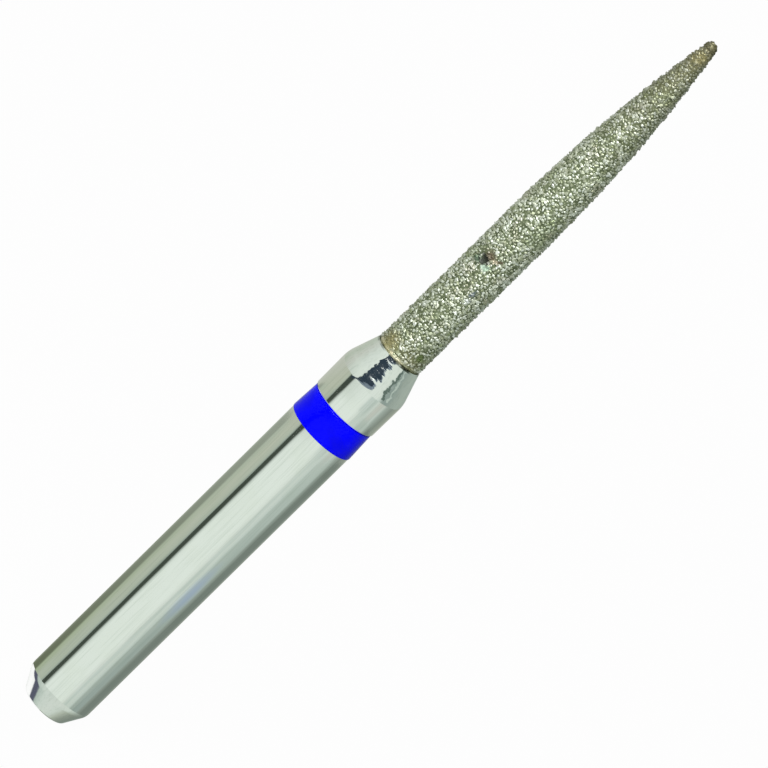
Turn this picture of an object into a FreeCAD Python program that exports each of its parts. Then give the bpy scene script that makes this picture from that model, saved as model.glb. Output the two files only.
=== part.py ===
# A diamond bur for a friction-grip handpiece: a turned steel blank, a blue ring that codes
# the grit's size, and a flame-shaped head with a plated crust of diamond grains.
# Lengths are millimetres. The origin is the centre of the shank's end face, and +Z runs
# along the axis to the tip.

import FreeCAD
import Part

import math
import os
import random

# Shank: the plain cylinder that the chuck grips
shank_diameter = 1.60
shank_length = 8.48          # end face to the ring's groove
end_chamfer_width = 0.255    # taken off the shank's radius at the end face
end_chamfer_length = 0.48
end_face_edge_radius = 0.07
chamfer_edge_radius = 0.30

# Groove, and the colour ring that fills it
ring_width = 0.68
groove_depth = 0.16
ring_proud = 0.015           # the ring's lower edge stands this far out of the shank
ring_sunk = 0.020            # its upper edge lies this far inside the shank's radius
ring_edge_radius = 0.02

# Collar, and the cone of the neck
ramp_length = 0.045          # slope from the ring's upper edge to the collar
ramp_depth = 0.045
collar_length = 0.90
collar_flare = 0.010         # growth of the radius over the collar
collar_edge_radius = 0.03
shoulder_round = 0.80
neck_length = 0.725          # shoulder to the coat's edge
neck_end_diameter = 1.15     # of the ledge that the coat's edge sits on

# Core of the head, under the coat
core_diameter = 0.96
core_tip_radius = 0.065
parallel_length = 3.92       # the head's straight stretch, from the coat's edge
flame_length = 5.45          # from there to the tip
core_run_in = 0.17           # the core tapers in from the ledge over this length

# Coat: nickel, and the crust of grains that stands out of it
nickel_thickness = 0.055
nickel_edge_width = 0.015    # the nickel's width where it starts on the ledge
grain_pitch = 0.105          # distance between neighbouring points of the crust
grain_height = 0.07          # tallest grains, out of the nickel
grain_share = 0.45           # share of the crust's points that are the tip of a grain
lowest_grain = 0.5           # height of the lowest grain, as a share of the tallest
highest_gap = 0.2            # height of the highest low place between grains, as the same share
grain_stray = 0.25           # how far a point strays from its place, in pitches
fewest_in_ring = 5           # points in the crust's smallest ring, next to the tip
grain_seed = 11

# Chip, where a grain has broken out of the straight stretch
chip_from_edge = 2.84        # distance from the coat's edge
chip_angle = -110.0          # degrees round the axis, from +X
chip_radius = 0.11
chip_depth = 0.05            # under the nickel's surface

axis_start = FreeCAD.Vector(0, 0, 0)
axis_direction = FreeCAD.Vector(0, 0, 1)
full_turn = 360

# Radii and stations that follow from the sizes above
shank_radius = shank_diameter / 2
groove_radius = shank_radius - groove_depth
shoulder_radius = shank_radius + collar_flare
core_radius = core_diameter / 2
nickel_radius = core_radius + nickel_thickness
neck_end_radius = neck_end_diameter / 2
ledge_radius = nickel_radius - nickel_edge_width

groove_start = shank_length
ring_end = groove_start + ring_width
collar_start = ring_end + ramp_length
shoulder_height = collar_start + collar_length
coat_start = shoulder_height + neck_length
core_start = coat_start + core_run_in
flame_start = coat_start + parallel_length
tip_height = flame_start + flame_length
core_tip_height = tip_height - nickel_thickness


def at(radius, height):
    """A point of the half section, which lies in the plane Y = 0."""
    return FreeCAD.Vector(radius, 0, height)


def line(start, end):
    return Part.LineSegment(start, end).toShape()


def rounded_path(*corners):
    """Lines through corners of (radius, height, rounding), each corner rounded by an arc."""
    points = [at(radius, height) for radius, height, rounding in corners]
    edges = []
    start = points[0]
    for before, corner, after, (_, _, rounding) in zip(points, points[1:], points[2:], corners[1:]):
        arriving = (corner - before).normalize()
        leaving = (after - corner).normalize()
        half_turn = arriving.getAngle(leaving) / 2
        setback = rounding * math.tan(half_turn)
        arc_start = corner - arriving * setback
        arc_end = corner + leaving * setback
        edges.append(line(start, arc_start))
        if rounding:
            towards_centre = (leaving - arriving).normalize()
            arc_middle = corner + towards_centre * rounding * (1 / math.cos(half_turn) - 1)
            edges.append(Part.Arc(arc_start, arc_middle, arc_end).toShape())
        start = arc_end
    edges.append(line(start, points[-1]))
    return edges


def flame(skin):
    """Outline of the flame at a distance outside the core.

    A long arc leaves the straight stretch along its own tangent, and it runs into a round
    nose centred on the axis.
    """
    nose_centre = core_tip_height - core_tip_radius
    rise = nose_centre - flame_start
    waist = core_radius - core_tip_radius
    core_arc_radius = (rise ** 2 / waist + core_radius + core_tip_radius) / 2
    centre_beyond_axis = core_arc_radius - core_radius
    lean = math.atan2(rise, centre_beyond_axis)
    arc_radius = core_arc_radius + skin
    nose_radius = core_tip_radius + skin

    def on_long_arc(angle):
        return at(arc_radius * math.cos(angle) - centre_beyond_axis,
                  flame_start + arc_radius * math.sin(angle))

    def on_nose(angle):
        return at(nose_radius * math.cos(angle), nose_centre + nose_radius * math.sin(angle))

    long_arc = Part.Arc(on_long_arc(0), on_long_arc(lean / 2), on_long_arc(lean))
    nose = Part.Arc(on_nose(lean), on_nose((lean + math.pi / 2) / 2), at(0, nose_centre + nose_radius))
    return [long_arc.toShape(), nose.toShape()]


def turned(edges):
    """The solid that a closed half section makes when it is spun round the axis."""
    section = Part.Face(Part.Wire(Part.__sortEdges__(edges)))
    return section.revolve(axis_start, axis_direction, full_turn)


def steel_blank():
    """The one turned piece: shank, groove, collar, neck, ledge, and the core under the coat."""
    side = rounded_path(
        (0, 0, 0),
        (shank_radius - end_chamfer_width, 0, end_face_edge_radius),
        (shank_radius, end_chamfer_length, chamfer_edge_radius),
        (shank_radius, groove_start, 0),
        (groove_radius, groove_start, 0),
        (groove_radius, ring_end, 0),
        (shank_radius - ramp_depth, ring_end, 0),
        (shank_radius, collar_start, collar_edge_radius),
        (shoulder_radius, shoulder_height, shoulder_round),
        (neck_end_radius, coat_start, 0),
        (ledge_radius, coat_start, 0),
        (core_radius, core_start, 0),
        (core_radius, flame_start, 0),
    )
    axis = line(at(0, core_tip_height), at(0, 0))
    return turned(side + flame(0) + [axis])


def colour_ring():
    """A bead of enamel in the groove, a little fuller at its lower edge."""
    section = rounded_path(
        (groove_radius, groove_start, 0),
        (shank_radius + ring_proud, groove_start, ring_edge_radius),
        (shank_radius - ring_sunk, ring_end, ring_edge_radius),
        (groove_radius, ring_end, 0),
    )
    inside = line(at(groove_radius, ring_end), at(groove_radius, groove_start))
    return turned(section + [inside])


def height_over_nickel(chance):
    """The height of a grain, or of a low place between grains."""
    if chance.random() < grain_share:
        return grain_height * chance.uniform(lowest_grain, 1)
    return grain_height * chance.uniform(0, highest_gap)


def crust_rows():
    """Rings of points over the nickel, from the coat's edge to the tip.

    Each point is a grain's tip or a low place between grains, and it is kept with its turn
    round the axis. The points near the chip are sunk into the nickel.
    """
    outline = Part.Wire([line(at(nickel_radius, coat_start), at(nickel_radius, flame_start))]
                        + flame(nickel_thickness))
    places = outline.discretize(round(outline.Length / grain_pitch) + 1)
    around = FreeCAD.Rotation(axis_direction, chip_angle)
    chip = around.multVec(at(nickel_radius, coat_start + chip_from_edge))
    chance = random.Random(grain_seed)
    rows = []
    for row, (place, following) in enumerate(zip(places, places[1:])):
        along = (following - place).normalize()
        outward = FreeCAD.Vector(along.z, 0, -along.x)
        count = max(fewest_in_ring, round(2 * math.pi * place.x / grain_pitch))
        stagger = row % 2 / 2
        ring = []
        for number in range(count):
            turn = (number + stagger + grain_stray * chance.uniform(-1, 1)) * full_turn / count
            height = height_over_nickel(chance)
            stray = chance.uniform(-1, 1) * grain_stray * grain_pitch if row else 0
            point = place + outward * height + along * stray
            point = FreeCAD.Rotation(axis_direction, turn).multVec(point)
            if point.distanceToPoint(chip) < chip_radius:
                sunk = at(nickel_radius - chip_depth, point.z)
                point = FreeCAD.Rotation(axis_direction, turn).multVec(sunk)
            ring.append((turn, point))
        rows.append(ring)
    return rows


def facets_between(lower, upper):
    """Triangles between two rings, each made with whichever ring's next point comes first."""
    def turn_of(ring, number):
        laps, place = divmod(number, len(ring))
        return ring[place][0] + laps * full_turn

    def point_of(ring, number):
        return ring[number % len(ring)][1]

    facets = []
    low = high = 0
    while low < len(lower) or high < len(upper):
        corner = point_of(lower, low)
        if high == len(upper) or low < len(lower) and turn_of(lower, low + 1) < turn_of(upper, high + 1):
            facets.append((corner, point_of(lower, low + 1), point_of(upper, high)))
            low += 1
        else:
            facets.append((corner, point_of(upper, high + 1), point_of(upper, high)))
            high += 1
    return facets


def diamond_coat():
    """The plated layer: a crust of flat-faced grains outside, and the core's own shape inside."""
    tip = at(0, tip_height)
    rows = crust_rows() + [[(0, tip)]]
    facets = [facet for lower, upper in zip(rows, rows[1:]) for facet in facets_between(lower, upper)]
    # At the tip itself a facet with that point twice is only a line, so it is left out
    faces = [Part.Face(Part.makePolygon(facet + facet[:1])) for facet in facets if facet.count(tip) < 2]
    edge_points = [point for turn, point in rows[0]]
    edge_outside = Part.makePolygon(edge_points + edge_points[:1])
    edge_inside = Part.Wire(Part.makeCircle(ledge_radius, at(0, coat_start), axis_direction))
    faces.append(Part.makeFace([edge_outside, edge_inside], "Part::FaceMakerBullseye"))
    bore = rounded_path(
        (ledge_radius, coat_start, 0),
        (core_radius, core_start, 0),
        (core_radius, flame_start, 0),
    )
    for edge in bore + flame(0):
        faces += edge.revolve(axis_start, axis_direction, full_turn).Faces
    shell = Part.makeShell(faces)
    shell.sewShape()
    return Part.Solid(shell)


pieces = {
    "steel_blank": steel_blank(),
    "colour_ring": colour_ring(),
    "diamond_coat": diamond_coat(),
}

os.makedirs("parts", exist_ok=True)
for name, solid in pieces.items():
    solid.exportStep(f"parts/{name}.step")
    box = solid.BoundBox
    print(f"{name}: {solid.ShapeType}, valid {solid.isValid()}, {solid.Volume:.4f} mm3, "
          f"{len(solid.Faces)} faces, height {box.ZMin:.3f} to {box.ZMax:.3f}, width {box.XLength:.3f}")
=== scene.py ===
import math

import bpy
from mathutils import Matrix, Vector, noise


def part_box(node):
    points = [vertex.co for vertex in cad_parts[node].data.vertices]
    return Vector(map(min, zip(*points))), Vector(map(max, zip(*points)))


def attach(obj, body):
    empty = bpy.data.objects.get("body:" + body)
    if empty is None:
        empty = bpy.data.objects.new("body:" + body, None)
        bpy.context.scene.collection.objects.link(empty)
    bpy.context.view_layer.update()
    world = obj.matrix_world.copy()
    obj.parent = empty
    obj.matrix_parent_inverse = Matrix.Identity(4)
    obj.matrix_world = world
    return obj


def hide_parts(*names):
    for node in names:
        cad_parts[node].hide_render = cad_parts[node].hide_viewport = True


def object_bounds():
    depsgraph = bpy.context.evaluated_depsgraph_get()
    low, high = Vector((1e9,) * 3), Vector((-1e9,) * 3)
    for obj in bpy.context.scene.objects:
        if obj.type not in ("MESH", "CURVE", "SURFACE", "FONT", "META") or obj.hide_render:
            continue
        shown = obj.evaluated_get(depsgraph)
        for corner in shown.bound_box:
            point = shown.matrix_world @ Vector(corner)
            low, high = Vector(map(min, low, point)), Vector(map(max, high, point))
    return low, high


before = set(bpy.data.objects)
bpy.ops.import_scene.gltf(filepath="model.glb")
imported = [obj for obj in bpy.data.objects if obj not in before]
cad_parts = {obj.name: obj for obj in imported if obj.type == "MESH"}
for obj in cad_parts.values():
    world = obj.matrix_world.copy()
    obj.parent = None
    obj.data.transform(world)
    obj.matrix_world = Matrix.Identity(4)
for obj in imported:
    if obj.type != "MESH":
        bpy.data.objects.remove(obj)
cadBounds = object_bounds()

# A friction-grip diamond bur: polished blank, blue enamel ring, nickel with diamond grains.
# Sizes in the dictionaries are millimetres, and angles are degrees, unless a note says otherwise.
mm = 0.001
body = "root"
print("frame loaded:", ", ".join(sorted(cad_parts)))


# Colours are written as screen values from 0 to 255
def screen(red, green, blue):
    def linear(value):
        value = value / 255
        return value / 12.92 if value <= 0.04045 else ((value + 0.055) / 1.055) ** 2.4
    return (linear(red), linear(green), linear(blue), 1)


# Azimuth 0 is the photographer's side, -Y, and it grows towards +X
def direction(azimuth, elevation):
    turn = math.radians(azimuth)
    rise = math.radians(elevation)
    return Vector((math.sin(turn) * math.cos(rise), -math.cos(turn) * math.cos(rise), math.sin(rise)))


def link(made):
    bpy.context.scene.collection.objects.link(made)
    return made


# Camera: the bur stands on its end face, so the photo's slant is a roll of the camera
photoCamera = {
    "azimuth": 0,
    "elevation": 15,
    "roll": 45.45,
    "distance": 190,
    "lens": 429.66,
    "sensor": 36,
    "clipStart": 10,
    "clipEnd": 2000,
    "aim": (0.205, 0, 10.155),
}


def makeCamera():
    data = bpy.data.cameras.new("photo camera")
    data.lens = photoCamera["lens"]
    data.sensor_width = photoCamera["sensor"]
    data.clip_start = photoCamera["clipStart"] * mm
    data.clip_end = photoCamera["clipEnd"] * mm
    camera = link(bpy.data.objects.new("photo camera", data))
    back = direction(photoCamera["azimuth"], photoCamera["elevation"])
    upright = (-back).to_track_quat("-Z", "Y").to_matrix()
    roll = Matrix.Rotation(math.radians(photoCamera["roll"]), 3, "Z")
    place = Vector(photoCamera["aim"]) + back * photoCamera["distance"]
    camera.matrix_world = Matrix.Translation(place * mm) @ (upright @ roll).to_4x4()
    bpy.context.scene.camera = camera
    print("camera placed")


# Node helpers: a tree is written as nodes with their settings, and with inputs that are values or links
def setInputs(node, inputs):
    for name, value in inputs.items():
        socket = node.inputs[name]
        if isinstance(value, bpy.types.NodeSocket):
            node.id_data.links.new(value, socket)
        else:
            socket.default_value = value


def addNode(tree, kind, inputs=None, **settings):
    node = tree.nodes.new(kind)
    for name, value in settings.items():
        setattr(node, name, value)
    setInputs(node, inputs or {})
    return node


def addMath(tree, operation, first, second=0.0):
    return addNode(tree, "ShaderNodeMath", {0: first, 1: second}, operation=operation).outputs[0]


def addVectorMath(tree, operation, first, second=(0, 0, 0)):
    node = addNode(tree, "ShaderNodeVectorMath", {0: first, 1: second}, operation=operation)
    return node.outputs["Value" if operation == "DISTANCE" else "Vector"]


def addScale(tree, vector, scale):
    return addNode(tree, "ShaderNodeVectorMath", {0: vector, "Scale": scale}, operation="SCALE").outputs[0]


def addRange(tree, value, low, high, start=0.0, end=1.0):
    return addNode(tree, "ShaderNodeMapRange", {
        "Value": value, "From Min": low, "From Max": high, "To Min": start, "To Max": end}).outputs[0]


def addNoise(tree, place, scale, detail, roughness=0.5):
    return addNode(tree, "ShaderNodeTexNoise", {
        "Vector": place, "Scale": scale, "Detail": detail, "Roughness": roughness})


def addRamp(tree, factor, stops):
    ramp = addNode(tree, "ShaderNodeValToRGB", {"Fac": factor})
    elements = ramp.color_ramp.elements
    while len(elements) < len(stops):
        elements.new(0.5)
    for element, (position, colour) in zip(elements, stops):
        element.position = position
        element.color = colour
    return ramp.outputs["Color"]


def addMix(tree, factor, first, second):
    return addNode(tree, "ShaderNodeMix", {0: factor, 6: first, 7: second}, data_type="RGBA").outputs[2]


# The tint covers the colour where the mask is, by a share
def addTint(tree, mask, share, colour, tint):
    return addMix(tree, addMath(tree, "MULTIPLY", mask, share), colour, tint)


def addBump(tree, relief, strength, depth):
    return addNode(tree, "ShaderNodeBump", {
        "Height": relief, "Strength": strength, "Distance": depth * mm}).outputs[0]


def newMaterial(name):
    material = bpy.data.materials.new(name)
    material.use_nodes = True
    tree = material.node_tree
    shader = tree.nodes["Principled BSDF"]
    return material, tree, shader


# Places on the part in millimetres, so that the scales below are per millimetre
def inMillimetres(tree):
    return addScale(tree, addNode(tree, "ShaderNodeTexCoord").outputs["Object"], 1 / mm)


def addHeight(tree, place):
    return addNode(tree, "ShaderNodeSeparateXYZ", {"Vector": place}).outputs["Z"]


# Every shared group takes a place and some more inputs, and one value comes out
def newGroup(name, inputs, output):
    group = bpy.data.node_groups.new(name, "ShaderNodeTree")
    group.interface.new_socket("Place", in_out="INPUT", socket_type="NodeSocketVector")
    for socketName, kind in inputs.items():
        group.interface.new_socket(socketName, in_out="INPUT", socket_type="NodeSocket" + kind)
    group.interface.new_socket(output, in_out="OUTPUT", socket_type="NodeSocketFloat")
    return group, addNode(group, "NodeGroupInput").outputs


# Streaks: noise drawn out along or round the axis, shared by the steel and the enamel
def streakGroup():
    group, given = newGroup("streaks", {"Across": "Float", "Along": "Float"}, "Streak")
    stretch = addNode(group, "ShaderNodeCombineXYZ", {
        "X": given["Across"], "Y": given["Across"], "Z": given["Along"]})
    place = addVectorMath(group, "MULTIPLY", given["Place"], stretch.outputs[0])
    grain = addNoise(group, place, scale=1.0, detail=3.0, roughness=0.55)
    addNode(group, "NodeGroupOutput", {"Streak": grain.outputs[0]})
    return group


# Mottle: soft patches with a chosen edge, shared by all the materials of the part
def mottleGroup():
    group, given = newGroup("mottle", {"Scale": "Float", "Low": "Float", "High": "Float"}, "Mask")
    grain = addNoise(group, given["Place"], given["Scale"], detail=4.0)
    mask = addRange(group, grain.outputs[0], given["Low"], given["High"])
    addNode(group, "NodeGroupOutput", {"Mask": mask})
    return group


# Spot: 1 at a chosen place on the part, falling to 0 at its rim
def spotGroup():
    group, given = newGroup("spot", {"Centre": "Vector", "Core": "Float", "Rim": "Float"}, "Mask")
    away = addVectorMath(group, "DISTANCE", given["Place"], given["Centre"])
    addNode(group, "NodeGroupOutput", {"Mask": addRange(group, away, given["Rim"], given["Core"])})
    return group


streaks = streakGroup()
mottle = mottleGroup()
spot = spotGroup()


def placeGroup(tree, group, inputs):
    return addNode(tree, "ShaderNodeGroup", inputs, node_tree=group).outputs[0]


# In the dictionaries below, streaks are (scale across, scale along) and a mottle is (scale, low, high)
def addStreaks(tree, place, scales):
    across, along = scales
    return placeGroup(tree, streaks, {"Place": place, "Across": across, "Along": along})


def addMottle(tree, place, patches):
    scale, low, high = patches
    return placeGroup(tree, mottle, {"Place": place, "Scale": scale, "Low": low, "High": high})


def addSpot(tree, place, centre, core, rim):
    return placeGroup(tree, spot, {"Place": place, "Centre": centre, "Core": core, "Rim": rim})


# The mask is 1 between two heights, with soft ends
def between(tree, height, low, high, soft):
    rising = addRange(tree, height, low - soft, low + soft)
    falling = addRange(tree, height, high + soft, high - soft)
    return addMath(tree, "MULTIPLY", rising, falling)


# Outlines of the half section, as (radius, height) points in millimetres
def roundedPath(corners, arcSteps=10):
    points = [Vector(corner[:2]) for corner in corners]
    path = [points[0]]
    roundings = [rounding for radius, height, rounding in corners[1:]]
    for before, corner, after, rounding in zip(points, points[1:], points[2:], roundings):
        if not rounding:
            path.append(corner)
            continue
        arriving = (corner - before).normalized()
        leaving = (after - corner).normalized()
        turn = math.atan2(arriving.x * leaving.y - arriving.y * leaving.x, arriving.dot(leaving))
        setback = rounding * math.tan(abs(turn) / 2)
        centre = corner + (leaving - arriving).normalized() * rounding / math.cos(turn / 2)
        spoke = corner - arriving * setback - centre
        for step in range(arcSteps + 1):
            path.append(centre + Matrix.Rotation(turn * step / arcSteps, 2) @ spoke)
    path.append(points[-1])
    return path


# A mesh spun round the axis from an outline that runs anticlockwise, so that its faces point outwards.
# A point nearer to the axis than onAxis closes the mesh there
onAxis = 1e-6


def spun(name, path, segments, loop=False, shape=None):
    vertices = []
    rings = []
    for row, point in enumerate(path):
        if point.x < onAxis:
            rings.append([len(vertices)])
            vertices.append((0, 0, point.y * mm))
            continue
        rings.append(range(len(vertices), len(vertices) + segments))
        for number in range(segments):
            angle = 2 * math.pi * number / segments
            place = Vector((point.x * math.cos(angle), point.x * math.sin(angle), point.y))
            vertices.append((shape(row, place) if shape else place) * mm)
    faces = []
    pairs = list(zip(rings, rings[1:])) + ([(rings[-1], rings[0])] if loop else [])
    for lower, upper in pairs:
        for number in range(segments):
            following = (number + 1) % segments
            if len(lower) == 1:
                faces.append((lower[0], upper[following], upper[number]))
            elif len(upper) == 1:
                faces.append((lower[number], lower[following], upper[0]))
            else:
                faces.append((lower[number], lower[following], upper[following], upper[number]))
    mesh = bpy.data.meshes.new(name)
    mesh.from_pydata(vertices, [], faces)
    mesh.update()
    return link(bpy.data.objects.new(name, mesh))


def smooth(piece, sharpAngle):
    piece.data.shade_smooth()
    piece.data.set_sharp_from_angle(angle=math.radians(sharpAngle))


# Head: the core's outline, a straight stretch and then a long arc that ends in a round nose. A mask that
# doesn't end on the head ends at the length beyond, past it
head = {
    "start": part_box("diamond_coat")[0].z / mm,
    "coreTip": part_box("steel_blank")[1].z / mm,
    "coreRadius": 0.48,
    "coreRunIn": 0.17,
    "coreTipRadius": 0.065,
    "ledgeRadius": 0.52,
    "straightLength": 3.92,
    "nickel": 0.055,
    "fewestNoseSteps": 3,
    "beyond": 1,
}


def flame(skin, pitch):
    noseCentre = head["coreTip"] - head["coreTipRadius"]
    flameStart = head["start"] + head["straightLength"]
    rise = noseCentre - flameStart
    waist = head["coreRadius"] - head["coreTipRadius"]
    coreArcRadius = (rise ** 2 / waist + head["coreRadius"] + head["coreTipRadius"]) / 2
    beyondAxis = coreArcRadius - head["coreRadius"]
    lean = math.atan2(rise, beyondAxis)
    arcRadius = coreArcRadius + skin
    noseRadius = head["coreTipRadius"] + skin
    path = []

    def addArc(radius, centre, start, end, steps):
        for step in range(steps):
            angle = start + (end - start) * step / steps
            path.append(centre + Vector((radius * math.cos(angle), radius * math.sin(angle))))

    noseTurn = math.pi / 2 - lean
    addArc(arcRadius, Vector((-beyondAxis, flameStart)), 0, lean, round(arcRadius * lean / pitch))
    noseSteps = max(head["fewestNoseSteps"], round(noseRadius * noseTurn / pitch))
    addArc(noseRadius, Vector((0, noseCentre)), lean, math.pi / 2, noseSteps)
    return path + [Vector((0, noseCentre + noseRadius))]


# Blank: shank, groove, collar, neck and the core, turned as one piece
blank = {
    "shankRadius": 0.80,
    "chamferWidth": 0.255,
    "chamferLength": 0.48,
    "endFaceEdge": 0.07,
    "chamferEdge": 0.30,
    "grooveDepth": 0.16,
    "rampDepth": 0.045,
    "rampLength": 0.045,
    "collarLength": 0.90,
    "collarFlare": 0.010,
    "collarEdge": 0.03,
    "shoulderRound": 0.80,
    "neckEndRadius": 0.575,
    "segments": 192,
    "corePitch": 0.25,
    "sharpAngle": 24,
    "colour": screen(231, 235, 231),
    "smoothest": 0.035,
    "roughest": 0.10,
    "roughFrom": 0.3,
    "roughTo": 0.7,
    "drawnStreaks": (9.0, 0.35),
    "drawnColour": screen(205, 214, 203),
    "drawnShare": 0.16,
    "drawnRelief": 0.04,
    "stainMottle": (1.6, 0.45, 0.75),
    "stainColour": screen(214, 222, 206),
    "stainShare": 0.20,
    "scratchStreaks": (26.0, 0.8),
    "scratchFrom": 0.5,
    "scratchTo": 0.72,
    "scratchColour": screen(186, 196, 186),
    "scratchShare": 0.3,
    "patchColour": screen(214, 224, 255),
    "patchCentre": (0.498, -0.626, 0.582),
    "patchSqueeze": 0.14,
    "patchCore": 0.03,
    "patchRim": 0.15,
    "patchShare": 0.8,
    "rippleStreaks": (0.4, 7.0),
    "toolRipple": 0.5,
    "swellStreaks": (1.5, 2.4),
    "toolSwell": 1.9,
    "waveShift": 0.05,
    "waveSoft": 0.08,
    "reliefDepth": 0.02,
    # Painted shade: a dark, broken line on the steel just below the coat's edge stands in for the shadow in
    # the seam there
    "seamShadeWidth": 0.035,
    "seamShadeSoft": 0.006,
    "seamShadeMottle": (2.4, 0.44, 0.56),
    "seamShadeColour": screen(84, 90, 78),
}
ringStart, ringEnd = (corner.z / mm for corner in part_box("colour_ring"))
grooveRadius = blank["shankRadius"] - blank["grooveDepth"]
collarStart = ringEnd + blank["rampLength"]
shoulder = collarStart + blank["collarLength"]


def makeBlank():
    r = blank["shankRadius"]
    path = roundedPath([
        (0, 0, 0),
        (r - blank["chamferWidth"], 0, blank["endFaceEdge"]),
        (r, blank["chamferLength"], blank["chamferEdge"]),
        (r, ringStart, 0),
        (grooveRadius, ringStart, 0),
        (grooveRadius, ringEnd, 0),
        (r - blank["rampDepth"], ringEnd, 0),
        (r, collarStart, blank["collarEdge"]),
        (r + blank["collarFlare"], shoulder, blank["shoulderRound"]),
        (blank["neckEndRadius"], head["start"], 0),
        (head["ledgeRadius"], head["start"], 0),
        (head["coreRadius"], head["start"] + head["coreRunIn"], 0),
        (head["coreRadius"], head["start"] + head["straightLength"], 0),
    ])
    piece = spun("polished_blank", path[:-1] + flame(0, blank["corePitch"]), blank["segments"])
    smooth(piece, blank["sharpAngle"])
    piece.data.materials.append(steelMaterial())
    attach(piece, body)
    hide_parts("steel_blank")
    print("blank turned:", len(piece.data.polygons), "faces")


def steelMaterial():
    material, tree, shader = newMaterial("polished steel")
    place = inMillimetres(tree)
    height = addHeight(tree, place)
    drawn = addStreaks(tree, place, blank["drawnStreaks"])
    colour = addTint(tree, drawn, blank["drawnShare"], blank["colour"], blank["drawnColour"])
    stain = addMottle(tree, place, blank["stainMottle"])
    colour = addTint(tree, stain, blank["stainShare"], colour, blank["stainColour"])
    fine = addStreaks(tree, place, blank["scratchStreaks"])
    scratched = addRange(tree, fine, blank["scratchFrom"], blank["scratchTo"], 0, blank["scratchShare"])
    colour = addMix(tree, scratched, colour, blank["scratchColour"])
    squeezed = addVectorMath(tree, "MULTIPLY", place, (1, 1, blank["patchSqueeze"]))
    bluish = addSpot(tree, squeezed, blank["patchCentre"], blank["patchCore"], blank["patchRim"])
    colour = addTint(tree, bluish, blank["patchShare"], colour, blank["patchColour"])
    # Painted shade in the seam under the coat's edge, broken up by a mottle
    seamShadeStart = head["start"] - blank["seamShadeWidth"]
    seamShadeMask = between(tree, height, seamShadeStart, head["start"] + head["beyond"], blank["seamShadeSoft"])
    patchy = addMottle(tree, place, blank["seamShadeMottle"])
    colour = addTint(tree, seamShadeMask, patchy, colour, blank["seamShadeColour"])
    # The cone has waves from the tool, and the whole blank has the drawn streaks
    shift = blank["waveShift"]
    onCone = between(tree, height, shoulder + shift, head["start"] + shift, blank["waveSoft"])
    ripples = addMath(tree, "SUBTRACT", addStreaks(tree, place, blank["rippleStreaks"]), 0.5)
    swells = addMath(tree, "SUBTRACT", addStreaks(tree, place, blank["swellStreaks"]), 0.5)
    waves = addMath(tree, "ADD", addMath(tree, "MULTIPLY", ripples, blank["toolRipple"]),
                    addMath(tree, "MULTIPLY", swells, blank["toolSwell"]))
    relief = addMath(tree, "ADD", addMath(tree, "MULTIPLY", waves, onCone),
                     addMath(tree, "MULTIPLY", drawn, blank["drawnRelief"]))
    rough = addRange(tree, drawn, blank["roughFrom"], blank["roughTo"], blank["smoothest"], blank["roughest"])
    setInputs(shader, {
        "Base Color": colour,
        "Metallic": 1,
        "Roughness": rough,
        "Normal": addBump(tree, relief, 1.0, blank["reliefDepth"]),
    })
    return material


# Ring: a bead of blue enamel baked into the groove
ring = {
    "proud": 0.015,
    "sunk": 0.020,
    "edge": 0.02,
    "segments": 192,
    "sharpAngle": 30,
    "colour": (0.0, 0.0, 0.92, 1),
    "colourDeep": (0.0, 0.0, 0.70, 1),
    "poolMottle": (2.2, 0.3, 0.7),
    "brushStreaks": (0.8, 14.0),
    "brushStrength": 0.3,
    "brushDepth": 0.002,
    "roughness": (0.10, 0.20),
    "specular": 0.08,
}


def makeRing():
    r = blank["shankRadius"]
    path = roundedPath([
        (grooveRadius, ringStart, 0),
        (r + ring["proud"], ringStart, ring["edge"]),
        (r - ring["sunk"], ringEnd, ring["edge"]),
        (grooveRadius, ringEnd, 0),
    ])
    piece = spun("enamel_ring", path, ring["segments"], loop=True)
    smooth(piece, ring["sharpAngle"])
    piece.data.materials.append(enamelMaterial())
    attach(piece, body)
    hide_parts("colour_ring")
    print("ring filled:", len(piece.data.polygons), "faces")


def enamelMaterial():
    material, tree, shader = newMaterial("blue enamel")
    place = inMillimetres(tree)
    pooled = addMottle(tree, place, ring["poolMottle"])
    brushed = addStreaks(tree, place, ring["brushStreaks"])
    setInputs(shader, {
        "Base Color": addMix(tree, pooled, ring["colour"], ring["colourDeep"]),
        "Roughness": addRange(tree, brushed, 0, 1, *ring["roughness"]),
        "Specular IOR Level": ring["specular"],
        "Normal": addBump(tree, brushed, ring["brushStrength"], ring["brushDepth"]),
    })
    return material


# Bond: plated nickel that holds the grains, lumpy outside and fitted to the core inside
bond = {
    "pitch": 0.034,
    "insidePitch": 0.3,
    "segments": 104,
    "sharpAngle": 40,
    "lump": 0.010,
    "lumpScale": 9,
    "fineLumpScale": 21,
    "fineLumpShare": 0.6,
    "chipCentre": (-0.183, -0.503, 13.67),
    "chipRadius": 0.13,
    "chipDepth": 0.048,
    "colour": screen(114, 124, 94),
    "darkColour": screen(76, 86, 58),
    "dullMottle": (7.0, 0.35, 0.65),
    "tintStrength": 0.8,
    "rimLength": 0.075,
    "rimProud": 0.022,
    "rimSoft": 0.01,
    "rimMottle": (4.0, 0.47, 0.6),
    "rimColour": screen(184, 180, 154),
    "pitCore": 0.05,
    "pitRim": 0.16,
    "metal": 0.5,
    "roughness": (0.35, 0.6),
    "fineScale": 40.0,
    "fineStrength": 0.8,
    "fineDepth": 0.01,
}
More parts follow.
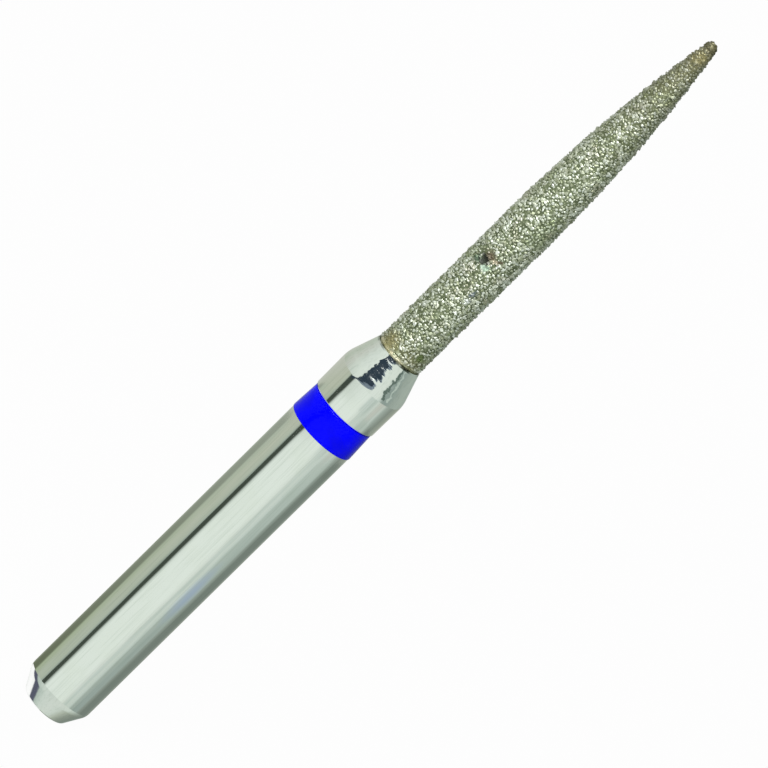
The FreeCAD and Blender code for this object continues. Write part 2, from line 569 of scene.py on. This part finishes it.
# Tints that the nickel and the grains share. The base and the tip have golden patches, and the head darkens
# towards its worn tip, with a golden band under that. Lengths run up from the coat's edge, or down from the
# core's tip
tints = {
    "goldColour": screen(122, 115, 76),
    "goldMottle": (2.3, 0.42, 0.62),
    "goldShare": 0.7,
    "baseFrom": -0.3,
    "baseTo": 0.35,
    "baseSoft": 0.3,
    "nearTipFrom": 1.1,
    "nearTipSoft": 0.7,
    "darkerFrom": 3.6,
    "darkerTo": 0.75,
    "darkerShare": 0.5,
    "bandLength": 0.30,
    "bandSoft": 0.08,
    "tipColour": screen(92, 88, 62),
    "tipLength": 0.17,
    "tipSoft": 0.06,
    "tipShare": 0.85,
    "markShare": 0.9,
    "markRagged": 0.22,
    "raggedScale": 16.0,
}
# Marks on the head: places, sizes and colours round the chip, and a pale scuff beside a grey dash. The pit's
# near-black is painted shade
marks = {
    "rust": {"at": (-0.13, -0.53, 13.82), "core": 0.06, "rim": 0.18, "colour": screen(98, 86, 66)},
    "cream": {"at": (0.03, -0.56, 13.80), "core": 0.02, "rim": 0.075, "colour": screen(202, 188, 166)},
    "brown": {"at": (0.10, -0.55, 13.86), "core": 0.03, "rim": 0.07, "colour": screen(92, 78, 62)},
    "mint": {"at": (-0.03, -0.56, 13.56), "core": 0.05, "rim": 0.13, "colour": screen(182, 204, 184)},
    "green shade": {"at": (-0.30, -0.46, 13.58), "core": 0.04, "rim": 0.14, "colour": screen(84, 104, 84)},
    "scuff": {"at": (0.203, -0.522, 12.78), "core": 0.03, "rim": 0.09, "colour": screen(220, 226, 224)},
    "grey dash": {"at": (0.203, -0.522, 12.94), "core": 0.03, "rim": 0.08, "colour": screen(84, 96, 112)},
    "dash end": {"at": (0.203, -0.522, 13.04), "core": 0.03, "rim": 0.07, "colour": screen(90, 102, 112)},
    "golden base": {"at": (-0.33, -0.45, 11.0), "core": 0.05, "rim": 0.34, "colour": screen(146, 140, 98)},
    "olive base": {"at": (0.36, -0.41, 11.19), "core": 0.04, "rim": 0.15, "colour": screen(92, 108, 60)},
    # Painted shade: the near-black pit stands in for the shade in the chip's hollow
    "pit": {"at": bond["chipCentre"], "core": 0.09, "rim": 0.14, "colour": screen(16, 22, 12)},
}


def outerPath(pitch):
    radius = head["coreRadius"] + head["nickel"]
    rows = round(head["straightLength"] / pitch)
    heights = [head["start"] + head["straightLength"] * row / rows for row in range(rows)]
    return [Vector((radius, height)) for height in heights] + flame(head["nickel"], pitch)


def makeBond():
    inside = [Vector((head["ledgeRadius"], head["start"])),
              Vector((head["coreRadius"], head["start"] + head["coreRunIn"]))]
    inside += flame(0, bond["insidePitch"])
    outside = outerPath(bond["pitch"])
    path = inside[::-1] + outside
    firstOutside = len(inside) + 1
    chip = Vector(bond["chipCentre"])

    def lumpy(row, place):
        if row < firstOutside:
            return place
        out = Vector((place.x, place.y, 0)).normalized()
        fine = bond["fineLumpShare"] * noise.noise(place * bond["fineLumpScale"])
        swell = bond["lump"] * (noise.noise(place * bond["lumpScale"]) + fine)
        hollow = max(0, 1 - ((place - chip).length / bond["chipRadius"]) ** 2)
        fromEdge = place.z - head["start"]
        if fromEdge < bond["rimLength"]:
            swell = bond["rimProud"] * math.sin(math.pi * fromEdge / bond["rimLength"])
        return place + out * (swell - bond["chipDepth"] * hollow)

    piece = spun("nickel_bond", path, bond["segments"], shape=lumpy)
    smooth(piece, bond["sharpAngle"])
    piece.data.materials.append(nickelMaterial())
    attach(piece, body)
    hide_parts("diamond_coat")
    print("nickel plated:", len(piece.data.polygons), "faces")


def addHeadTints(tree, place, colour, strength):
    height = addHeight(tree, place)
    base = head["start"]
    tip = head["coreTip"]
    past = tip + head["beyond"]
    atBase = between(tree, height, base + tints["baseFrom"], base + tints["baseTo"], tints["baseSoft"])
    atTip = between(tree, height, tip - tints["nearTipFrom"], past, tints["nearTipSoft"])
    patches = addMottle(tree, place, tints["goldMottle"])
    golden = addMath(tree, "MULTIPLY", addMath(tree, "MAXIMUM", atBase, atTip), patches)
    colour = addTint(tree, golden, strength * tints["goldShare"], colour, tints["goldColour"])
    darkerStart = tip - tints["darkerFrom"]
    darker = addRange(tree, height, darkerStart, tip - tints["darkerTo"], 0, tints["darkerShare"])
    colour = addMix(tree, darker, colour, tints["tipColour"])
    wornStart = tip - tints["tipLength"]
    goldBand = between(tree, height, wornStart - tints["bandLength"], wornStart, tints["bandSoft"])
    colour = addTint(tree, goldBand, strength, colour, tints["goldColour"])
    worn = between(tree, height, wornStart, past, tints["tipSoft"])
    return addTint(tree, worn, tints["tipShare"], colour, tints["tipColour"])


def addMarks(tree, place, colour):
    wild = addNoise(tree, place, tints["raggedScale"], detail=2.0).outputs["Color"]
    centred = addVectorMath(tree, "SUBTRACT", wild, (0.5, 0.5, 0.5))
    ragged = addVectorMath(tree, "ADD", place, addScale(tree, centred, tints["markRagged"]))
    for mark in marks.values():
        mask = addSpot(tree, ragged, mark["at"], mark["core"], mark["rim"])
        colour = addTint(tree, mask, tints["markShare"], colour, mark["colour"])
    return colour


def nickelMaterial():
    material, tree, shader = newMaterial("plated nickel")
    place = inMillimetres(tree)
    dull = addMottle(tree, place, bond["dullMottle"])
    colour = addMix(tree, dull, bond["colour"], bond["darkColour"])
    colour = addHeadTints(tree, place, colour, bond["tintStrength"])
    rimEnd = head["start"] + bond["rimLength"] + bond["rimSoft"]
    onRim = between(tree, addHeight(tree, place), head["start"] - head["beyond"], rimEnd, bond["rimSoft"])
    brightRim = addMottle(tree, place, bond["rimMottle"])
    colour = addTint(tree, onRim, brightRim, colour, bond["rimColour"])
    pit = addSpot(tree, place, bond["chipCentre"], bond["pitCore"], bond["pitRim"])
    fine = addNoise(tree, place, bond["fineScale"], detail=3.0).outputs[0]
    setInputs(shader, {
        "Base Color": addMarks(tree, place, colour),
        "Metallic": addRange(tree, pit, 0, 1, bond["metal"], 0),
        "Roughness": addRange(tree, dull, 0, 1, *bond["roughness"]),
        "Normal": addBump(tree, fine, bond["fineStrength"], bond["fineDepth"]),
    })
    return material


# Grains: crushed diamond scattered over the nickel, in a few shapes that repeat. The full turn is in radians
grains = {
    "spacing": 0.049,
    "density": 800,
    "radius": 0.032,
    "smallest": 0.65,
    "largest": 1.4,
    "stretch": (0.75, 1.25),
    "sunk": 0.012,
    "depths": (-1.0, 0.35),
    "jag": 0.42,
    "shapes": 6,
    "fullTurn": 6.283,
    "seed": 12,
    "otherSeeds": {"depth": 3, "stretch": 21, "size": 22, "turn": 23, "shape": 24, "tone": 25},
    "chipClear": 0.10,
    "bedPitch": 0.05,
    "bedSegments": 48,
    "bedStart": 0.6,
    "tones": [(0.08, screen(132, 140, 108)), (0.5, screen(183, 188, 169)), (0.92, screen(218, 223, 213))],
    "toneShare": 0.75,
    "cloudMottle": (14.0, 0.3, 0.7),
    "greenTint": screen(136, 150, 108),
    "greenMottle": (1.7, 0.5, 0.68),
    "greenShare": 0.45,
    "warmTint": screen(176, 170, 154),
    "warmMottle": (2.9, 0.52, 0.7),
    "warmShare": 0.4,
    "tintStrength": 0.55,
    "facets": 0.46,
    "metal": 0.8,
    "roughness": (0.46, 0.6),
    "refraction": 1.6,
}


def grainTree():
    tree = bpy.data.node_groups.new("grains over nickel", "GeometryNodeTree")
    tree.is_modifier = True
    tree.interface.new_socket("Bed", in_out="INPUT", socket_type="NodeSocketGeometry")
    for name in ("Spacing", "Density", "Grain Radius", "Smallest", "Largest", "Sunk", "Jag", "Chip Clear"):
        tree.interface.new_socket(name, in_out="INPUT", socket_type="NodeSocketFloat")
    tree.interface.new_socket("Seed", in_out="INPUT", socket_type="NodeSocketInt")
    tree.interface.new_socket("Chip Centre", in_out="INPUT", socket_type="NodeSocketVector")
    tree.interface.new_socket("Finish", in_out="INPUT", socket_type="NodeSocketMaterial")
    tree.interface.new_socket("Grains", in_out="OUTPUT", socket_type="NodeSocketGeometry")
    given = addNode(tree, "NodeGroupInput").outputs
    seeds = grains["otherSeeds"]
    scattered = addNode(tree, "GeometryNodeDistributePointsOnFaces", {
        "Mesh": given["Bed"], "Distance Min": given["Spacing"], "Density Max": given["Density"],
        "Seed": given["Seed"]}, distribute_method="POISSON")
    # No grain lies in the chip, and each of the others is sunk or raised a little
    where = addNode(tree, "GeometryNodeInputPosition").outputs[0]
    away = addVectorMath(tree, "DISTANCE", where, given["Chip Centre"])
    nearChip = addNode(tree, "FunctionNodeCompare", {0: away, 1: given["Chip Clear"]},
                       data_type="FLOAT", operation="LESS_THAN")
    kept = addNode(tree, "GeometryNodeDeleteGeometry", {
        "Geometry": scattered.outputs["Points"], "Selection": nearChip.outputs[0]}, domain="POINT")
    depth = addRandom(tree, "FLOAT", *grains["depths"], seeds["depth"])
    inward = addScale(tree, scattered.outputs["Normal"], addMath(tree, "MULTIPLY", depth, given["Sunk"]))
    seated = addNode(tree, "GeometryNodeSetPosition", {"Geometry": kept.outputs[0], "Offset": inward})
    # Each shape is a small icosahedron with its corners moved at random
    shapes = addNode(tree, "GeometryNodeJoinGeometry")
    for number in range(grains["shapes"]):
        crystal = addNode(tree, "GeometryNodeMeshIcoSphere", {"Radius": 1.0, "Subdivisions": 1})
        wild = addRandom(tree, "FLOAT_VECTOR", (-1, -1, -1), (1, 1, 1), number)
        jag = addScale(tree, wild, given["Jag"])
        broken = addNode(tree, "GeometryNodeSetPosition", {
            "Geometry": crystal.outputs["Mesh"], "Offset": jag})
        single = addNode(tree, "GeometryNodeGeometryToInstance", {"Geometry": broken.outputs[0]})
        tree.links.new(single.outputs[0], shapes.inputs[0])
    least, most = grains["stretch"]
    stretch = addRandom(tree, "FLOAT_VECTOR", (least,) * 3, (most,) * 3, seeds["stretch"])
    size = addRandom(tree, "FLOAT", given["Smallest"], given["Largest"], seeds["size"])
    scale = addScale(tree, stretch, addMath(tree, "MULTIPLY", size, given["Grain Radius"]))
    turn = addRandom(tree, "FLOAT_VECTOR", (0, 0, 0), (grains["fullTurn"],) * 3, seeds["turn"])
    which = addRandom(tree, "INT", 0, grains["shapes"] - 1, seeds["shape"])
    placed = addNode(tree, "GeometryNodeInstanceOnPoints", {
        "Points": seated.outputs[0], "Instance": shapes.outputs[0], "Pick Instance": True,
        "Instance Index": which, "Rotation": turn, "Scale": scale})
    tone = addRandom(tree, "FLOAT", 0.0, 1.0, seeds["tone"])
    toned = addNode(tree, "GeometryNodeStoreNamedAttribute", {
        "Geometry": placed.outputs[0], "Name": "grainTone", "Value": tone},
        data_type="FLOAT", domain="INSTANCE")
    real = addNode(tree, "GeometryNodeRealizeInstances", {"Geometry": toned.outputs[0]})
    flat = addNode(tree, "GeometryNodeSetShadeSmooth", {"Geometry": real.outputs[0], "Shade Smooth": False})
    finished = addNode(tree, "GeometryNodeSetMaterial", {
        "Geometry": flat.outputs[0], "Material": given["Finish"]})
    addNode(tree, "NodeGroupOutput", {"Grains": finished.outputs[0]})
    return tree


# Each kind of value has its own inputs and output on the node
def addRandom(tree, kind, low, high, seed):
    first, output = {"FLOAT_VECTOR": (0, 0), "FLOAT": (2, 1), "INT": (4, 2)}[kind]
    node = addNode(tree, "FunctionNodeRandomValue", {
        first: low, first + 1: high, "Seed": seed}, data_type=kind)
    return node.outputs[output]


def makeGrains():
    above = head["start"] + grains["bedStart"] * bond["rimLength"]
    path = [point for point in outerPath(grains["bedPitch"]) if point.y > above]
    bed = spun("grain bed", path[:-1], grains["bedSegments"])
    modifier = bed.modifiers.new("grains", "NODES")
    tree = grainTree()
    modifier.node_group = tree
    wanted = {
        "Spacing": grains["spacing"] * mm,
        "Density": grains["density"] / mm ** 2,
        "Grain Radius": grains["radius"] * mm,
        "Smallest": grains["smallest"],
        "Largest": grains["largest"],
        "Sunk": grains["sunk"] * mm,
        "Jag": grains["jag"],
        "Chip Clear": grains["chipClear"] * mm,
        "Seed": grains["seed"],
        "Chip Centre": tuple(Vector(bond["chipCentre"]) * mm),
        "Finish": gritMaterial(),
    }
    for item in tree.interface.items_tree:
        if item.in_out == "INPUT" and item.name in wanted:
            modifier[item.identifier] = wanted[item.name]
    bpy.context.view_layer.update()
    evaluated = bed.evaluated_get(bpy.context.evaluated_depsgraph_get())
    mesh = bpy.data.meshes.new_from_object(evaluated)
    bed.modifiers.remove(modifier)
    bpy.data.objects.remove(bed)
    mesh.name = "diamond_grains"
    piece = link(bpy.data.objects.new("diamond_grains", mesh))
    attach(piece, body)
    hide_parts("diamond_coat")
    print("grains scattered:", len(mesh.polygons), "faces")


# The plating rounds the grains, so their facets lean towards the head's own surface
def addSoftFacets(tree, place, share):
    facet = addNode(tree, "ShaderNodeNewGeometry").outputs["Normal"]
    flat = addVectorMath(tree, "MULTIPLY", place, (1, 1, 0))
    outward = addVectorMath(tree, "NORMALIZE", flat)
    mixed = addNode(tree, "ShaderNodeMix", {0: share, 4: outward, 5: facet}, data_type="VECTOR")
    return addVectorMath(tree, "NORMALIZE", mixed.outputs[1])


def gritMaterial():
    material, tree, shader = newMaterial("diamond grit")
    place = inMillimetres(tree)
    tone = addNode(tree, "ShaderNodeAttribute", attribute_name="grainTone").outputs["Fac"]
    cloudy = addMottle(tree, place, grains["cloudMottle"])
    toned = addMath(tree, "ADD", addMath(tree, "MULTIPLY", tone, grains["toneShare"]),
                    addMath(tree, "MULTIPLY", cloudy, 1 - grains["toneShare"]))
    colour = addRamp(tree, toned, grains["tones"])
    green = addMottle(tree, place, grains["greenMottle"])
    colour = addTint(tree, green, grains["greenShare"], colour, grains["greenTint"])
    warm = addMottle(tree, place, grains["warmMottle"])
    colour = addTint(tree, warm, grains["warmShare"], colour, grains["warmTint"])
    colour = addMarks(tree, place, addHeadTints(tree, place, colour, grains["tintStrength"]))
    setInputs(shader, {
        "Base Color": colour,
        "Metallic": grains["metal"],
        "Roughness": addRange(tree, cloudy, 0, 1, *grains["roughness"]),
        "IOR": grains["refraction"],
        "Normal": addSoftFacets(tree, place, grains["facets"]),
    })
    return material


# Studio: pale floor and soft lights, with walls and cards that only reflections see
studio = {
    "floorSize": 900,
    "floorColour": screen(165, 165, 165),
    "floorRoughness": 0.9,
    "floorWhite": 0.97,
    "ambient": 0.08,
    "wallDistance": 45,
    "wallCentre": 5,
    "wallStep": 6,
    "cardDistance": 44,
    "cardParts": 5,
}
lights = {
    "key": {"azimuth": -8, "elevation": 45, "distance": 130, "size": 75, "level": 1.65},
    "left": {"azimuth": -100, "elevation": 30, "distance": 150, "size": 90, "level": 0.14},
    "back": {"azimuth": 175, "elevation": 35, "distance": 150, "size": 90, "level": 0.7},
}
# Shades of the surroundings, as the steel shows them
shades = {
    "white": screen(250, 251, 250),
    "bright": screen(236, 239, 236),
    "paper": screen(219, 229, 219),
    "pale": screen(213, 223, 213),
    "mist": screen(206, 215, 206),
    "silver": screen(199, 210, 200),
    "pewter": screen(190, 203, 194),
    "linen": screen(187, 192, 181),
    "sage": screen(176, 190, 180),
    "straw": screen(180, 187, 169),
    "moss": screen(171, 182, 165),
    "lichen": screen(158, 172, 141),
    "fog": screen(157, 170, 160),
    "grey": screen(148, 161, 151),
    "cloud": screen(141, 156, 149),
    "stone": screen(146, 155, 141),
    "smoke": screen(132, 142, 132),
    "ash": screen(128, 136, 116),
    "steel blue": screen(116, 130, 140),
    "slate": screen(115, 126, 117),
    "dusk": screen(96, 112, 104),
    "olive": screen(88, 97, 71),
    "navy": screen(87, 90, 106),
    "shadow": screen(64, 73, 64),
    "deep blue": screen(46, 59, 70),
}
# Walls round the bur, each between two elevations. A stop is an azimuth with the shades at the wall's foot
# and at its top
walls = {
    "wall under the chamfer": {"from": -88, "to": -26, "stops": [
        (-180, "mist", "mist"), (-160, "bright", "bright"), (-140, "white", "white"),
        (-118, "white", "white"), (-112, "navy", "navy"), (-88, "navy", "navy"), (-80, "sage", "sage"),
        (-40, "silver", "silver"), (40, "mist", "mist"), (78, "silver", "silver"), (100, "straw", "fog"),
        (122, "stone", "smoke"), (150, "smoke", "slate"), (180, "moss", "grey")]},
    "wall by the shank": {"from": -26, "to": -11.3, "stops": [
        (-180, "ash", "moss"), (-140, "olive", "stone"), (-117, "olive", "stone"),
        (-108, "lichen", "moss"), (-84, "moss", "straw"), (-66, "moss", "moss"), (-60, "grey", "grey"),
        (-58, "shadow", "shadow"), (-48, "shadow", "shadow"), (-42, "silver", "silver"),
        (-36, "paper", "paper"), (26, "paper", "paper"), (36, "mist", "pale"), (41, "pewter", "silver"),
        (47, "pewter", "pewter"), (51, "silver", "silver"), (60, "pewter", "pewter"), (66, "fog", "sage"),
        (80, "cloud", "sage"), (92, "cloud", "sage"), (100, "smoke", "grey"), (112, "slate", "slate"),
        (138, "slate", "slate"), (155, "smoke", "smoke"), (180, "ash", "moss")]},
    "wall by the collar": {"from": -11.3, "to": -6.5, "stops": [
        (-180, "linen", "linen"), (-104, "straw", "linen"), (-72, "straw", "straw"), (-62, "moss", "moss"),
        (-59, "shadow", "shadow"), (-46, "shadow", "shadow"), (-40, "silver", "mist"),
        (18, "paper", "paper"), (27, "pale", "pale"), (34, "pewter", "pewter"), (44, "pewter", "pewter"),
        (52, "sage", "sage"), (60, "silver", "silver"), (72, "linen", "linen"), (86, "pewter", "linen"),
        (95, "fog", "fog"), (118, "smoke", "smoke"), (145, "stone", "stone"), (180, "linen", "linen")]},
    "wall by the neck": {"from": -6.5, "to": 60, "stops": [
        (-180, "linen", "pale"), (-130, "moss", "mist"), (-100, "linen", "mist"), (-70, "silver", "pale"),
        (-44, "pale", "paper"), (46, "pale", "pale"), (56, "pewter", "pewter"), (66, "cloud", "cloud"),
        (80, "cloud", "cloud"), (96, "grey", "fog"), (115, "fog", "fog"), (135, "fog", "moss"),
        (155, "grey", "sage"), (180, "linen", "pale")]},
}
# Cards stand in front of the walls. A row is an elevation with the azimuths of the card's two sides
cards = {
    "navy patch": {"shade": "deep blue", "rows": [
        (-9, -59, -46), (-6, -53, -42), (-3, -45, -34), (1, -38, -22), (5, -36, -6), (9, -35, 8),
        (16, -35, 14), (26, -35, 8), (38, -36, -10), (52, -36, -26)]},
    "navy shade": {"shade": "steel blue", "rows": [
        (-3, -34, -16), (1, -22, 4), (5, -6, 13), (9, 8, 18), (16, 14, 20), (26, 8, 14), (38, -10, -3)]},
    "first wave": {"shade": "dusk", "rows": [
        (2, 56, 66), (12, 54, 66), (20, 51, 62), (28, 55, 66), (38, 50, 58)]},
    "second wave": {"shade": "sage", "rows": [
        (2, 76, 82), (12, 72, 79), (20, 74, 82), (28, 71, 78), (38, 74, 79)]},
}
plainWhite = (1, 1, 1, 1)


def makeFloor():
    half = studio["floorSize"] / 2 * mm
    corners = [(-half, -half, 0), (half, -half, 0), (half, half, 0), (-half, half, 0)]
    mesh = bpy.data.meshes.new("floor")
    mesh.from_pydata(corners, [], [(0, 1, 2, 3)])
    floor = link(bpy.data.objects.new("floor", mesh))
    floor.visible_glossy = False
    material, tree, shader = newMaterial("pale floor")
    setInputs(shader, {
        "Base Color": studio["floorColour"],
        "Roughness": studio["floorRoughness"],
        "Specular IOR Level": 0,
    })
    # The camera sees the floor nearly white, with a trace of the bur's shadow
    seen = addNode(tree, "ShaderNodeLightPath").outputs["Is Camera Ray"]
    share = addMath(tree, "MULTIPLY", seen, studio["floorWhite"])
    white = addNode(tree, "ShaderNodeEmission", {"Color": plainWhite, "Strength": 1.0})
    mixed = addNode(tree, "ShaderNodeMixShader", {0: share, 1: shader.outputs[0], 2: white.outputs[0]})
    setInputs(tree.nodes["Material Output"], {"Surface": mixed.outputs[0]})
    floor.data.materials.append(material)


def makeStudio():
    makeFloor()
    for name, light in lights.items():
        makeLight(name, light)
    for name, wall in walls.items():
        makeWall(name, wall)
    for name, card in cards.items():
        makeCard(name, card)
    makeWorld()
    print("studio set:", len(lights), "lights,", len(walls), "walls,", len(cards), "cards")


# The level is what a white surface that faces the light would show of it
def makeLight(name, light):
    data = bpy.data.lights.new(name, "AREA")
    data.shape = "DISK"
    data.size = light["size"] * mm
    distance = light["distance"] * mm
    data.energy = light["level"] * (math.pi * distance) ** 2
    lamp = link(bpy.data.objects.new(name, data))
    out = direction(light["azimuth"], light["elevation"])
    middle = (cadBounds[0] + cadBounds[1]) / 2
    facing = out.to_track_quat("Z", "Y").to_matrix().to_4x4()
    lamp.matrix_world = Matrix.Translation(middle + out * distance) @ facing


# A shade is divided by the steel's own colour, so that the steel shows the shade that is written
def reflected(shade):
    return Vector([wanted / steel for wanted, steel in zip(shades[shade][:3], blank["colour"])] + [1])


def makeWall(name, wall):
    columns = []
    for (start, foot, top), (end, nextFoot, nextTop) in zip(wall["stops"], wall["stops"][1:]):
        parts = math.ceil((end - start) / studio["wallStep"])
        for part in range(parts):
            share = part / parts
            columns.append((start + (end - start) * share, reflected(foot).lerp(reflected(nextFoot), share),
                            reflected(top).lerp(reflected(nextTop), share)))
    azimuth, foot, top = wall["stops"][-1]
    columns.append((azimuth, reflected(foot), reflected(top)))
    rows = math.ceil((wall["to"] - wall["from"]) / studio["wallStep"])
    points = []
    for row in range(rows + 1):
        elevation = wall["from"] + (wall["to"] - wall["from"]) * row / rows
        points.append([(azimuth, elevation, foot.lerp(top, row / rows)) for azimuth, foot, top in columns])
    makeBackdrop(name, points, studio["wallDistance"])


def makeCard(name, card):
    points = []
    for (low, left, right), (high, nextLeft, nextRight) in zip(card["rows"], card["rows"][1:]):
        for part in range(studio["cardParts"]):
            share = part / studio["cardParts"]
            points.append((low + (high - low) * share, left + (nextLeft - left) * share,
                           right + (nextRight - right) * share))
    points.append(card["rows"][-1])
    colour = reflected(card["shade"])
    across = studio["cardParts"]
    grid = [[(left + (right - left) * part / across, elevation, colour) for part in range(across + 1)]
            for elevation, left, right in points]
    makeBackdrop("card, " + name, grid, studio["cardDistance"])


# A sheet of coloured light that only reflections see
def makeBackdrop(name, grid, distance):
    vertices = []
    colours = []
    centre = Vector((0, 0, studio["wallCentre"]))
    for row in grid:
        for azimuth, elevation, colour in row:
            vertices.append((direction(azimuth, elevation) * distance + centre) * mm)
            colours.extend(colour)
    across = len(grid[0])
    faces = []
    for row in range(len(grid) - 1):
        for column in range(across - 1):
            first = row * across + column
            faces.append((first, first + 1, first + across + 1, first + across))
    mesh = bpy.data.meshes.new(name)
    mesh.from_pydata(vertices, [], faces)
    mesh.attributes.new("shown", "FLOAT_COLOR", "POINT").data.foreach_set("color", colours)
    sheet = link(bpy.data.objects.new(name, mesh))
    for ray in ("camera", "diffuse", "transmission", "volume_scatter", "shadow"):
        setattr(sheet, "visible_" + ray, False)
    sheet.data.materials.append(sheetMaterial)


def makeSheetMaterial():
    material = bpy.data.materials.new("lit sheet")
    material.use_nodes = True
    tree = material.node_tree
    tree.nodes.clear()
    shown = addNode(tree, "ShaderNodeAttribute", attribute_name="shown")
    glow = addNode(tree, "ShaderNodeEmission", {"Color": shown.outputs["Color"], "Strength": 1.0})
    addNode(tree, "ShaderNodeOutputMaterial", {"Surface": glow.outputs[0]})
    return material


def makeWorld():
    world = bpy.data.worlds.new("white room")
    world.use_nodes = True
    tree = world.node_tree
    tree.nodes.clear()
    path = addNode(tree, "ShaderNodeLightPath")
    seen = addMath(tree, "MAXIMUM", path.outputs["Is Camera Ray"], path.outputs["Is Glossy Ray"])
    soft = addNode(tree, "ShaderNodeBackground", {"Color": plainWhite, "Strength": studio["ambient"]})
    white = addNode(tree, "ShaderNodeBackground", {"Color": plainWhite, "Strength": 1.0})
    mixed = addNode(tree, "ShaderNodeMixShader", {0: seen, 1: soft.outputs[0], 2: white.outputs[0]})
    addNode(tree, "ShaderNodeOutputWorld", {"Surface": mixed.outputs[0]})
    bpy.context.scene.world = world


makeCamera()
makeBlank()
makeRing()
makeBond()
makeGrains()
sheetMaterial = makeSheetMaterial()
makeStudio()
bpy.context.scene.view_settings.view_transform = "Standard"
